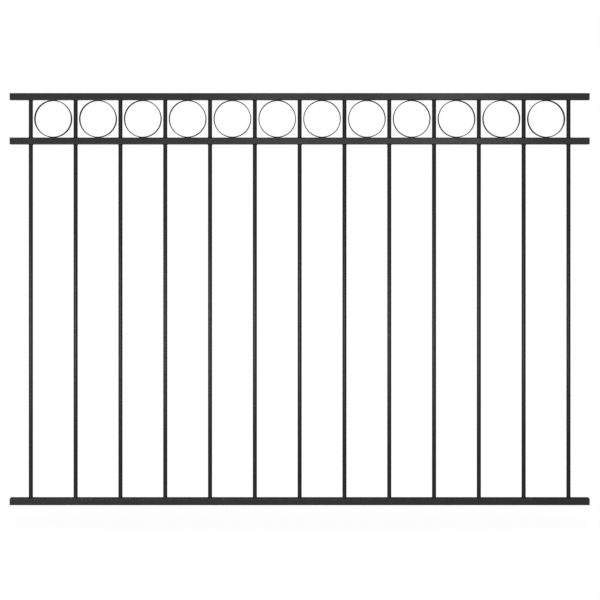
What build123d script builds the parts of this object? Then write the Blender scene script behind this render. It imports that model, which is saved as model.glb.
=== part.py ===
"""Steel fence panel: square rails, round pickets and a row of rolled rings under the top rail.

The panel stands in the XZ plane with its front towards -Y. The origin is the centre of the
bottom rail's left end face, where the panel meets its post. All sizes are in millimetres.
"""

import os

from build123d import *

# Square rail tube
RAIL_SIZE = 20.0
RAIL_WALL = 1.2
RAIL_BORE_RADIUS = 0.8
RAIL_OVERHANG = 60.4  # end of the rail to the axis of the first picket

# Round picket tube
PICKET_DIAMETER = 12.0
PICKET_WALL = 1.0
PICKET_CLEARANCE = 0.15  # all round, in the punched holes

# Ring rolled from flat strip, one in each bay
RING_DIAMETER = 110.0
RING_THICKNESS = 2.5
RING_DEPTH = 12.0
RING_CLEARANCE = 0.1  # to the rail above and the rail below
RING_SIDE_GAP = 4.8  # to the picket on either side

# Plug that closes a rail's end
CAP_HEAD = 2.0
CAP_SHANK_LENGTH = 14.0
CAP_SHANK_WALL = 1.5
CAP_SHANK_CLEARANCE = 0.15  # all round, in the rail's bore

# Whole panel
PANEL_HEIGHT = 1208.0
BAY_COUNT = 12

# Sizes that follow from the driving dimensions
RAIL_CORNER_RADIUS = RAIL_BORE_RADIUS + RAIL_WALL
RAIL_BORE = RAIL_SIZE - 2 * RAIL_WALL
PICKET_COUNT = BAY_COUNT + 1
PICKET_PITCH = PICKET_DIAMETER + RING_DIAMETER + 2 * RING_SIDE_GAP
PANEL_WIDTH = BAY_COUNT * PICKET_PITCH + 2 * RAIL_OVERHANG
TOP_RAIL_HEIGHT = PANEL_HEIGHT - RAIL_SIZE
RING_HEIGHT = TOP_RAIL_HEIGHT - RAIL_SIZE / 2 - RING_CLEARANCE - RING_DIAMETER / 2
MIDDLE_RAIL_HEIGHT = RING_HEIGHT - RING_DIAMETER / 2 - RING_CLEARANCE - RAIL_SIZE / 2
RAIL_HEIGHTS = {
    "top_rail": TOP_RAIL_HEIGHT,
    "middle_rail": MIDDLE_RAIL_HEIGHT,
    "bottom_rail": 0.0,
}


def save(piece, name):
    """Label a finished piece and write it to its own file."""
    piece.part.label = name
    export_step(piece.part, f"parts/{name}.step")


def rail_tube(height):
    """A straight length of square tube between its two end caps."""
    with BuildPart() as rail:
        with BuildSketch(Plane((CAP_HEAD, 0, height), x_dir=(0, 1, 0), z_dir=(1, 0, 0))):
            RectangleRounded(RAIL_SIZE, RAIL_SIZE, RAIL_CORNER_RADIUS)
            RectangleRounded(RAIL_BORE, RAIL_BORE, RAIL_BORE_RADIUS, mode=Mode.SUBTRACT)
        extrude(amount=PANEL_WIDTH - 2 * CAP_HEAD)
    return rail


def punched_rail_tube(height):
    """The same tube with round holes through both walls, one pair for each picket."""
    with BuildPart() as rail:
        add(rail_tube(height).part)
        with BuildSketch(Plane((PANEL_WIDTH / 2, 0, height))):
            with GridLocations(PICKET_PITCH, PICKET_PITCH, PICKET_COUNT, 1):
                Circle(PICKET_DIAMETER / 2 + PICKET_CLEARANCE)
        extrude(amount=RAIL_SIZE, both=True, mode=Mode.SUBTRACT)
    return rail


def end_cap(height, end_x, outward):
    """A moulded plug: a head as wide as the tube and a hollow shank that fills its bore."""
    shank_size = RAIL_BORE - 2 * CAP_SHANK_CLEARANCE
    hollow_size = shank_size - 2 * CAP_SHANK_WALL
    tube_end = Plane((end_x - outward * CAP_HEAD, 0, height), x_dir=(0, 1, 0), z_dir=(outward, 0, 0))
    with BuildPart() as cap:
        with BuildSketch(tube_end):
            RectangleRounded(RAIL_SIZE, RAIL_SIZE, RAIL_CORNER_RADIUS)
        extrude(amount=CAP_HEAD)
        with BuildSketch(tube_end) as shank:
            Rectangle(shank_size, shank_size)
            chamfer(shank.vertices(), RAIL_BORE_RADIUS)
            Rectangle(hollow_size, hollow_size, mode=Mode.SUBTRACT)
        extrude(amount=-CAP_SHANK_LENGTH)
    return cap


def picket_tube(centre_x):
    """A round tube from the bottom rail's upper face to the top rail's lower face."""
    with BuildPart() as picket:
        with BuildSketch(Plane((centre_x, 0, RAIL_SIZE / 2))):
            Circle(PICKET_DIAMETER / 2)
            Circle(PICKET_DIAMETER / 2 - PICKET_WALL, mode=Mode.SUBTRACT)
        extrude(amount=TOP_RAIL_HEIGHT - RAIL_SIZE)
    return picket


def ring_row():
    """Flat strips rolled into rings, one in the middle of each bay, between the top and middle rails."""
    with BuildPart() as rings:
        with BuildSketch(Plane((PANEL_WIDTH / 2, RING_DEPTH / 2, RING_HEIGHT), (1, 0, 0), (0, -1, 0))):
            with GridLocations(PICKET_PITCH, PICKET_PITCH, BAY_COUNT, 1):
                Circle(RING_DIAMETER / 2)
                Circle(RING_DIAMETER / 2 - RING_THICKNESS, mode=Mode.SUBTRACT)
        extrude(amount=RING_DEPTH)
    return rings


os.makedirs("parts", exist_ok=True)

for name, height in RAIL_HEIGHTS.items():
    rail = punched_rail_tube(height) if name == "middle_rail" else rail_tube(height)
    save(rail, name)
    save(end_cap(height, 0, -1), f"{name}_left_cap")
    save(end_cap(height, PANEL_WIDTH, 1), f"{name}_right_cap")

for number in range(PICKET_COUNT):
    save(picket_tube(RAIL_OVERHANG + number * PICKET_PITCH), f"picket_{number + 1:02d}")

save(ring_row(), "rings")
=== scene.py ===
"""Looks of the steel fence panel: coats, rolled rings, rail plugs and weld beads, in a white studio."""

import math

import bmesh
import bpy
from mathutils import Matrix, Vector


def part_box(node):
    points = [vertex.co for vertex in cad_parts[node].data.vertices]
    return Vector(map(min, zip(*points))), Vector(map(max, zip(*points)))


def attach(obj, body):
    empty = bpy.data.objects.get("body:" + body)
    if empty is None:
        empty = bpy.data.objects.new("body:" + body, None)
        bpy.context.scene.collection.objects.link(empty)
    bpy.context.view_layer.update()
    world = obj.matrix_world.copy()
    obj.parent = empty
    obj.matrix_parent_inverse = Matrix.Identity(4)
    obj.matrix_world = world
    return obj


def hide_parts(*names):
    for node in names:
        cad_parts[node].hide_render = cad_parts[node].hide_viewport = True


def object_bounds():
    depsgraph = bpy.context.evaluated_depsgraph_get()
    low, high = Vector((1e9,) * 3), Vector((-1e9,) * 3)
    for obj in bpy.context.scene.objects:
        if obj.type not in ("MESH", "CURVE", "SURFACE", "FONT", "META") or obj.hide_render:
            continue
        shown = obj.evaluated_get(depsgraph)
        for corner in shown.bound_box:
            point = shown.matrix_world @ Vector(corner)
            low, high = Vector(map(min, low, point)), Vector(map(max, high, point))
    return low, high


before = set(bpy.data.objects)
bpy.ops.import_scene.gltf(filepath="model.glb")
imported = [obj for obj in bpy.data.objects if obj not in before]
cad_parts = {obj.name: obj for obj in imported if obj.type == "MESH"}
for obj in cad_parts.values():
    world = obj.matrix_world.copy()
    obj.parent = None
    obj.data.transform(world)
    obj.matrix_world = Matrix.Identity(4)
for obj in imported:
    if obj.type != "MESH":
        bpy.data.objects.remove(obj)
CAD_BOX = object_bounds()

MM = 0.001

# Where the photograph shows the panel, in pixels of its square frame
PHOTO_SIZE = 600
PANEL_LEFT_PX = 9.5
PANEL_RIGHT_PX = 589.8
PANEL_TOP_PX = 93.0

# Level camera in front of the panel
CAMERA_DISTANCE = 3.67
CAMERA_SENSOR = 36.0
HORIZON_PX = 210.0  # row of the frame that is level with the camera

# Ground under the panel
GROUND_CLEARANCE = 50 * MM
FLOOR_REACH = 40.0
FLOOR_GREY = 0.9

# Noise in the coats: scales in features per metre, and the range that most of its values keep to
CLOUD_SCALE = 9
CLOUD_DETAIL = 3
GLOSS_SCALE = 60
GLOSS_DETAIL = 4
SURFACE_DETAIL = 2
NOISE_LOW = 0.3
NOISE_HIGH = 0.7
CLOUD_CONTRAST = 0.07  # share by which a powder coat is darker or lighter in its clouds

# Rolled strip of the rings
RING_THICKNESS = 2.5 * MM
RING_EDGE_RADIUS = 0.4 * MM
RING_SEGMENTS = 144
RING_CORNER_STEPS = 3

# Moulded plugs in the rail ends
CAP_HEAD = 2.0 * MM
CAP_CORNER_RADIUS = 2.0 * MM
CAP_FACE_RADIUS = 0.7 * MM
CAP_SEAM_RADIUS = 0.35 * MM
CAP_SHANK_INSET = 1.35 * MM
CAP_SHANK_CORNER = 0.8 * MM
CAP_HOLLOW_INSET = 2.85 * MM
CAP_HOLLOW_CORNER = 0.3 * MM
CAP_CORNER_STEPS = 6

# Weld beads
BEAD_SUNK = 0.25 * MM  # how far a bead reaches into what it joins
PICKET_BEAD_LEG = 1.5 * MM
PICKET_BEAD_CROWN = 1.5  # power of the bead's curve: 1 is a quarter round, 2 is a flat slope
PICKET_BEAD_RIPPLES = 13
PICKET_BEAD_RIPPLE_DEPTH = 0.10  # share of the leg
PICKET_BEAD_SEGMENTS = 52
PICKET_BEAD_STEPS = 5
PICKET_PHASE = 1.7  # turn of the ripples from one picket to the next, in radians
SEAT_PHASE = 2.3  # turn of the ripples from one bead of a picket to the next, in radians
RING_BEAD_REACH = 9.0 * MM
RING_BEAD_TAPER = 0.35  # share of the reach that is lost at the strip's edges
RING_BEAD_TAPER_POWER = 4  # the higher it is, the nearer to the edges the taper starts
RING_BEAD_STEPS = 8
RING_BEAD_SLICES = 13


# Places read from the frame

RAILS = ("top_rail", "middle_rail", "bottom_rail")
CAPS = [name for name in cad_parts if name.endswith("_cap")]
PICKETS = sorted(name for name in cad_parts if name.startswith("picket_"))

panel_middle = (CAD_BOX[0] + CAD_BOX[1]) / 2
rail_box = {name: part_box(name) for name in RAILS}
bottom_middle = (rail_box["bottom_rail"][0] + rail_box["bottom_rail"][1]) / 2
picket_box = [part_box(name) for name in PICKETS]
picket_x = [(low.x + high.x) / 2 for low, high in picket_box]
picket_radius = (picket_box[0][1].x - picket_box[0][0].x) / 2
ring_x = [(left + right) / 2 for left, right in zip(picket_x, picket_x[1:])]
ring_low, ring_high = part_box("rings")
ring_outer = (ring_high.x - ring_low.x - (ring_x[-1] - ring_x[0])) / 2
ring_z = (ring_low.z + ring_high.z) / 2
ring_half_depth = (ring_high.y - ring_low.y) / 2


# Materials

def new_material(name):
    """A node material, with its nodes, its links and its principled shader."""
    material = bpy.data.materials.new(name)
    material.use_nodes = True
    nodes = material.node_tree.nodes
    shader = next(node for node in nodes if node.type == "BSDF_PRINCIPLED")
    return material, nodes, material.node_tree.links, shader


def noise(nodes, links, coordinates, scale, detail):
    """Noise at a scale given in features per metre."""
    node = nodes.new("ShaderNodeTexNoise")
    node.inputs["Scale"].default_value = scale
    node.inputs["Detail"].default_value = detail
    links.new(coordinates.outputs["Object"], node.inputs["Vector"])
    return node


def spread(nodes, links, source, low, high):
    """Maps noise onto a range of values."""
    node = nodes.new("ShaderNodeMapRange")
    node.inputs["From Min"].default_value = NOISE_LOW
    node.inputs["From Max"].default_value = NOISE_HIGH
    node.inputs["To Min"].default_value = low
    node.inputs["To Max"].default_value = high
    links.new(source.outputs["Fac"], node.inputs["Value"])
    return node


def tint(nodes, links, source, dark, light):
    """Runs between two greys along the noise."""
    node = nodes.new("ShaderNodeValToRGB")
    node.color_ramp.elements[0].position = NOISE_LOW
    node.color_ramp.elements[0].color = (dark, dark, dark, 1)
    node.color_ramp.elements[1].position = NOISE_HIGH
    node.color_ramp.elements[1].color = (light, light, light, 1)
    links.new(source.outputs["Fac"], node.inputs["Fac"])
    return node


def bump(nodes, links, source, distance, below=None):
    """A height taken from noise, laid over another bump if there is one."""
    node = nodes.new("ShaderNodeBump")
    node.inputs["Distance"].default_value = distance
    links.new(source.outputs["Fac"], node.inputs["Height"])
    if below is not None:
        links.new(below.outputs["Normal"], node.inputs["Normal"])
    return node


def coating(name, dark, light, roughness, metallic, specular, edge, peel, grain):
    """A dark coat with cloudy colour, uneven gloss, orange peel and a fine grain."""
    material, nodes, links, shader = new_material(name)
    coordinates = nodes.new("ShaderNodeTexCoord")
    clouds = noise(nodes, links, coordinates, CLOUD_SCALE, CLOUD_DETAIL)
    gloss = noise(nodes, links, coordinates, GLOSS_SCALE, GLOSS_DETAIL)
    peel_scale, peel_height = peel
    grain_scale, grain_height = grain
    peel_noise = noise(nodes, links, coordinates, peel_scale, SURFACE_DETAIL)
    grain_noise = noise(nodes, links, coordinates, grain_scale, SURFACE_DETAIL)
    colour = tint(nodes, links, clouds, dark, light)
    rough = spread(nodes, links, gloss, *roughness)
    surface = bump(nodes, links, grain_noise, grain_height, bump(nodes, links, peel_noise, peel_height))
    links.new(colour.outputs["Color"], shader.inputs["Base Color"])
    links.new(rough.outputs["Result"], shader.inputs["Roughness"])
    links.new(surface.outputs["Normal"], shader.inputs["Normal"])
    shader.inputs["Metallic"].default_value = metallic
    shader.inputs["Specular IOR Level"].default_value = specular
    shader.inputs["Specular Tint"].default_value = (edge, edge, edge, 1)
    return material


def powder_coat(name, shade):
    """Satin black powder coat around one shade of black."""
    return coating(
        name,
        dark=(1 - CLOUD_CONTRAST) * shade,
        light=(1 + CLOUD_CONTRAST) * shade,
        roughness=(0.17, 0.21),
        metallic=0.29,
        specular=0.0,
        edge=0.3,
        peel=(400, 0.07 * MM),
        grain=(2200, 0.012 * MM),
    )


def plug_plastic(name):
    """Dull black moulded plastic."""
    return coating(
        name,
        dark=0.0135,
        light=0.0165,
        roughness=(0.5, 0.6),
        metallic=0.0,
        specular=0.25,
        edge=1.0,
        peel=(900, 0.01 * MM),
        grain=(3600, 0.01 * MM),
    )


# Meshes

def closed_loops(bm, loops, around):
    """Skins a row of point loops: the last one joins the first if around, or else both are capped."""
    rows = [[bm.verts.new(point) for point in loop] for loop in loops]
    pairs = list(zip(rows, rows[1:]))
    if around:
        pairs.append((rows[-1], rows[0]))
    for first, second in pairs:
        for i in range(len(first)):
            j = (i + 1) % len(first)
            bm.faces.new((first[i], first[j], second[j], second[i]))
    if not around:
        bm.faces.new(reversed(rows[0]))
        bm.faces.new(rows[-1])


def make_piece(name, bm, material):
    """Turns a finished mesh into a piece of the panel that rides on its one body."""
    bmesh.ops.recalc_face_normals(bm, faces=bm.faces)
    for face in bm.faces:
        face.smooth = True
    mesh = bpy.data.meshes.new(name)
    bm.to_mesh(mesh)
    bm.free()
    mesh.materials.append(material)
    piece = bpy.data.objects.new(name, mesh)
    bpy.context.scene.collection.objects.link(piece)
    piece.modifiers.new("even_shading", "WEIGHTED_NORMAL")
    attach(piece, "root")
    return piece


def rounded_section(half_width, half_height, radius, steps):
    """Rectangle with rounded corners, as pairs of offsets from its middle."""
    points = []
    for corner, (side_a, side_b) in enumerate(((1, 1), (-1, 1), (-1, -1), (1, -1))):
        for step in range(steps + 1):
            angle = math.pi / 2 * (corner + step / steps)
            points.append((
                side_a * (half_width - radius) + radius * math.cos(angle),
                side_b * (half_height - radius) + radius * math.sin(angle),
            ))
    return points


def ring_strips():
    """Strips with softened edges rolled into rings, one in each bay."""
    bm = bmesh.new()
    middle = ring_outer - RING_THICKNESS / 2
    section = rounded_section(RING_THICKNESS / 2, ring_half_depth, RING_EDGE_RADIUS, RING_CORNER_STEPS)
    for x in ring_x:
        loops = []
        for segment in range(RING_SEGMENTS):
            angle = 2 * math.pi * segment / RING_SEGMENTS
            loops.append([
                Vector((
                    x + (middle + across) * math.cos(angle),
                    along,
                    ring_z + (middle + across) * math.sin(angle),
                ))
                for across, along in section
            ])
        closed_loops(bm, loops, around=True)
    return bm


def cap_profile(half_width, shank_length):
    """A plug's outline from its hollow to its face: height above the tube's end, half width, corner."""
    profile = [
        (0, half_width - CAP_HOLLOW_INSET, CAP_HOLLOW_CORNER),
        (-shank_length, half_width - CAP_HOLLOW_INSET, CAP_HOLLOW_CORNER),
        (-shank_length, half_width - CAP_SHANK_INSET, CAP_SHANK_CORNER),
        (0, half_width - CAP_SHANK_INSET, CAP_SHANK_CORNER),
    ]
    quarter = [math.pi / 2 * step / CAP_CORNER_STEPS for step in range(CAP_CORNER_STEPS + 1)]
    for turn in quarter:
        inset = CAP_SEAM_RADIUS * (1 - math.sin(turn))
        height = CAP_SEAM_RADIUS * (1 - math.cos(turn))
        profile.append((height, half_width - inset, CAP_CORNER_RADIUS - inset))
    for turn in quarter:
        inset = CAP_FACE_RADIUS * (1 - math.cos(turn))
        height = CAP_HEAD - CAP_FACE_RADIUS * (1 - math.sin(turn))
        profile.append((height, half_width - inset, CAP_CORNER_RADIUS - inset))
    return profile


def end_caps():
    """A plug with softened edges in each rail end."""
    bm = bmesh.new()
    for name in CAPS:
        low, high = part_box(name)
        outward = 1 if low.x > panel_middle.x else -1
        tube_end = high.x - CAP_HEAD if outward == 1 else low.x + CAP_HEAD
        middle_z = (low.z + high.z) / 2
        loops = []
        for height, half_width, radius in cap_profile((high.z - low.z) / 2, high.x - low.x - CAP_HEAD):
            outline = rounded_section(half_width, half_width, radius, CAP_CORNER_STEPS)
            loops.append([Vector((tube_end + outward * height, y, middle_z + z)) for y, z in outline])
        closed_loops(bm, loops, around=False)
    return bm


def picket_bead(bm, x, face_z, outward, phase):
    """A rippled fillet of weld round a picket where it meets a rail's face."""
    loops = []
    for segment in range(PICKET_BEAD_SEGMENTS):
        angle = 2 * math.pi * segment / PICKET_BEAD_SEGMENTS
        ripple = math.sin(PICKET_BEAD_RIPPLES * angle + phase)
        leg = PICKET_BEAD_LEG * (1 + PICKET_BEAD_RIPPLE_DEPTH * ripple)
        section = [(-BEAD_SUNK, -BEAD_SUNK), (leg, -BEAD_SUNK)]
        for step in range(PICKET_BEAD_STEPS + 1):
            turn = math.pi / 2 * step / PICKET_BEAD_STEPS
            section.append((
                leg * math.cos(turn) ** PICKET_BEAD_CROWN,
                leg * math.sin(turn) ** PICKET_BEAD_CROWN,
            ))
        section.append((-BEAD_SUNK, leg))
        loops.append([
            Vector((
                x + (picket_radius + away) * math.cos(angle),
                (picket_radius + away) * math.sin(angle),
                face_z + outward * up,
            ))
            for away, up in section
        ])
    closed_loops(bm, loops, around=True)


def picket_beads():
    """Beads on every picket: under the top rail, above and below the middle rail, on the bottom rail."""
    bm = bmesh.new()
    seats = (
        (rail_box["top_rail"][0].z, -1),
        (rail_box["middle_rail"][1].z, 1),
        (rail_box["middle_rail"][0].z, -1),
        (rail_box["bottom_rail"][1].z, 1),
    )
    for number, x in enumerate(picket_x):
        for seat, (face_z, outward) in enumerate(seats):
            picket_bead(bm, x, face_z, outward, phase=number * PICKET_PHASE + seat * SEAT_PHASE)
    return bm


def ring_bead(bm, x, face_z, outward):
    """Weld that fills the wedge on both sides of the line where a ring touches a rail."""
    loops = []
    half_length = ring_half_depth - RING_EDGE_RADIUS
    for slice_number in range(RING_BEAD_SLICES):
        share = 2 * slice_number / (RING_BEAD_SLICES - 1) - 1
        reach = RING_BEAD_REACH * (1 - RING_BEAD_TAPER * share ** RING_BEAD_TAPER_POWER)
        across = [reach * (2 * step / RING_BEAD_STEPS - 1) for step in range(RING_BEAD_STEPS + 1)]
        drop = [ring_outer - math.sqrt(ring_outer ** 2 - offset ** 2) + BEAD_SUNK for offset in across]
        rail_side = [
            Vector((x + offset, share * half_length, face_z - outward * BEAD_SUNK))
            for offset in across
        ]
        ring_side = [
            Vector((x + offset, share * half_length, face_z + outward * depth))
            for offset, depth in zip(across, drop)
        ]
        loops.append(rail_side + ring_side[::-1])
    closed_loops(bm, loops, around=False)


def ring_beads():
    """Beads above and below every ring."""
    bm = bmesh.new()
    for x in ring_x:
        ring_bead(bm, x, rail_box["top_rail"][0].z, -1)
        ring_bead(bm, x, rail_box["middle_rail"][1].z, 1)
    return bm


def dress_panel():
    """Gives every part of the panel its finish and adds the plugs, the rings and the weld beads."""
    rail_coat = powder_coat("black_rail_coat", shade=0.0282)
    # The pickets, rings and weld beads take a darker copy of the one rail coat: painted shade, not a
    # coat of their own
    shaded_infill_coat = powder_coat("black_coat_painted_darker", shade=0.0205)
    cap_plastic = plug_plastic("black_plug_plastic")
    for name in RAILS:
        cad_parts[name].data.materials[0] = rail_coat
    for name in PICKETS:
        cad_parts[name].data.materials[0] = shaded_infill_coat
    caps = make_piece("rail_end_caps", end_caps(), cap_plastic)
    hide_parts(*CAPS)
    strips = make_piece("ring_strips", ring_strips(), shaded_infill_coat)
    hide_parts("rings")
    make_piece("picket_weld_beads", picket_beads(), shaded_infill_coat)
    make_piece("ring_weld_beads", ring_beads(), shaded_infill_coat)


# Studio

def seen_directly(nodes, links):
    """1 for what the camera, a reflection or glass sees, and 0 for the light that falls on things."""
    path = nodes.new("ShaderNodeLightPath")
    either = nodes.new("ShaderNodeMath")
    either.operation = "MAXIMUM"
    links.new(path.outputs["Is Camera Ray"], either.inputs[0])
    links.new(path.outputs["Is Glossy Ray"], either.inputs[1])
    any_of_three = nodes.new("ShaderNodeMath")
    any_of_three.operation = "MAXIMUM"
    links.new(either.outputs["Value"], any_of_three.inputs[0])
    links.new(path.outputs["Is Transmission Ray"], any_of_three.inputs[1])
    return any_of_three


def make_world(ambient):
    """White surroundings, with a softer level for the light that they give."""
    world = bpy.data.worlds.new("white_studio")
    bpy.context.scene.world = world
    world.use_nodes = True
    world.cycles.sampling_method = "NONE"
    nodes, links = world.node_tree.nodes, world.node_tree.links
    nodes.clear()
    shown = nodes.new("ShaderNodeBackground")
    shown.inputs["Color"].default_value = (1, 1, 1, 1)
    shown.inputs["Strength"].default_value = 1.0
    light = nodes.new("ShaderNodeBackground")
    light.inputs["Color"].default_value = (1, 1, 1, 1)
    light.inputs["Strength"].default_value = ambient
    mix = nodes.new("ShaderNodeMixShader")
    output = nodes.new("ShaderNodeOutputWorld")
    links.new(seen_directly(nodes, links).outputs["Value"], mix.inputs["Fac"])
    links.new(light.outputs["Background"], mix.inputs[1])
    links.new(shown.outputs["Background"], mix.inputs[2])
    links.new(mix.outputs["Shader"], output.inputs["Surface"])


def floor_paint(glow_strength):
    """White paint that takes shadows, with a glow that only shows and lights nothing."""
    material = bpy.data.materials.new("white_floor")
    material.use_nodes = True
    nodes, links = material.node_tree.nodes, material.node_tree.links
    nodes.clear()
    paint = nodes.new("ShaderNodeBsdfDiffuse")
    paint.inputs["Color"].default_value = (FLOOR_GREY, FLOOR_GREY, FLOOR_GREY, 1)
    glow = nodes.new("ShaderNodeEmission")
    glow.inputs["Strength"].default_value = glow_strength
    kept_shadow = nodes.new("ShaderNodeAddShader")
    by_ray = nodes.new("ShaderNodeMixShader")
    output = nodes.new("ShaderNodeOutputMaterial")
    links.new(glow.outputs["Emission"], kept_shadow.inputs[0])
    links.new(paint.outputs["BSDF"], kept_shadow.inputs[1])
    links.new(seen_directly(nodes, links).outputs["Value"], by_ray.inputs["Fac"])
    links.new(paint.outputs["BSDF"], by_ray.inputs[1])
    links.new(kept_shadow.outputs["Shader"], by_ray.inputs[2])
    links.new(by_ray.outputs["Shader"], output.inputs["Surface"])
    return material


def make_floor(glow_strength):
    """A wide white floor that keeps the shadow of the panel in the light around it."""
    ground = CAD_BOX[0].z - GROUND_CLEARANCE
    corners = [
        (panel_middle.x + FLOOR_REACH * side_x, panel_middle.y + FLOOR_REACH * side_y, ground)
        for side_x, side_y in ((-1, -1), (1, -1), (1, 1), (-1, 1))
    ]
    bm = bmesh.new()
    bm.faces.new([bm.verts.new(corner) for corner in corners])
    mesh = bpy.data.meshes.new("floor")
    bm.to_mesh(mesh)
    bm.free()
    mesh.materials.append(floor_paint(glow_strength))
    floor = bpy.data.objects.new("floor", mesh)
    bpy.context.scene.collection.objects.link(floor)
    return floor


def make_lamp(name, unlit, place, target, size, power):
    """A soft lamp for all but the unlit objects, with places measured from the bottom rail's middle."""
    lamp = bpy.data.lights.new(name, "AREA")
    lamp.shape = "RECTANGLE"
    lamp.size, lamp.size_y = size
    lamp.energy = power
    holder = bpy.data.objects.new(name, lamp)
    bpy.context.scene.collection.objects.link(holder)
    holder.location = bottom_middle + Vector(place)
    holder.rotation_mode = "QUATERNION"
    holder.rotation_quaternion = (Vector(target) - Vector(place)).to_track_quat("-Z", "Y")
    holder.light_linking.receiver_collection = unlit


def light_panel(floor):
    """Lamps round the panel. The floor has only the light of the surroundings, so it stays even."""
    unlit = bpy.data.collections.new("left_to_surroundings")
    unlit.objects.link(floor)
    unlit.collection_objects[0].light_linking.link_state = "EXCLUDE"
    make_lamp(
        "low_left_softbox", unlit,
        place=(-1.47, -1.75, 0.33), target=(-0.1, 0, 0.33), size=(1.6, 0.75), power=18.5,
    )
    make_lamp(
        "low_front_softbox", unlit,
        place=(-0.85, -3.9, 0.28), target=(-0.25, 0, 0.28), size=(1.9, 0.6), power=45,
    )
    make_lamp(
        "bottom_softbox", unlit,
        place=(0, -1.5, 0.22), target=(0, 0, 0.05), size=(2.4, 0.5), power=13,
    )
    make_lamp(
        "middle_softbox", unlit,
        place=(0, -3.9, 0.45), target=(0, 0, 0.45), size=(1.4, 1.0), power=5,
    )
    make_lamp(
        "upper_softbox_left", unlit,
        place=(-0.09, -3.9, 1.35), target=(-0.09, 0, 1.35), size=(0.6, 0.8), power=5.5,
    )
    make_lamp(
        "upper_softbox_right", unlit,
        place=(0.9, -3.9, 1.35), target=(0.9, 0, 1.35), size=(0.7, 0.8), power=10,
    )
    make_lamp(
        "front_softbox", unlit,
        place=(0.1, -4.3, 0.8), target=(0.1, 0, 0.6), size=(4.4, 2.4), power=29,
    )
    make_lamp(
        "high_back_softbox", unlit,
        place=(0, 3.2, 3.0), target=(0, 0, 0.6), size=(2.6, 1.2), power=50,
    )
    make_lamp(
        "back_softbox", unlit,
        place=(0, 4.3, 2.4), target=(0, 0, 0.6), size=(9.0, 1.4), power=190,
    )


def make_camera():
    """A level camera that frames the panel as the photograph does."""
    low, high = CAD_BOX
    metres_per_px = (high.x - low.x) / (PANEL_RIGHT_PX - PANEL_LEFT_PX)
    camera = bpy.data.cameras.new("camera")
    camera.sensor_width = CAMERA_SENSOR
    camera.lens = CAMERA_SENSOR * CAMERA_DISTANCE / (PHOTO_SIZE * metres_per_px)
    camera.shift_y = (HORIZON_PX - PHOTO_SIZE / 2) / PHOTO_SIZE
    holder = bpy.data.objects.new("camera", camera)
    bpy.context.scene.collection.objects.link(holder)
    holder.location = (
        low.x + (PHOTO_SIZE / 2 - PANEL_LEFT_PX) * metres_per_px,
        low.y - CAMERA_DISTANCE,
        high.z - (HORIZON_PX - PANEL_TOP_PX) * metres_per_px,
    )
    holder.rotation_euler = (math.pi / 2, 0, 0)
    bpy.context.scene.camera = holder


dress_panel()
make_world(ambient=0.2)
light_panel(make_floor(glow_strength=0.83))
make_camera()
bpy.context.scene.view_settings.view_transform = "Standard"
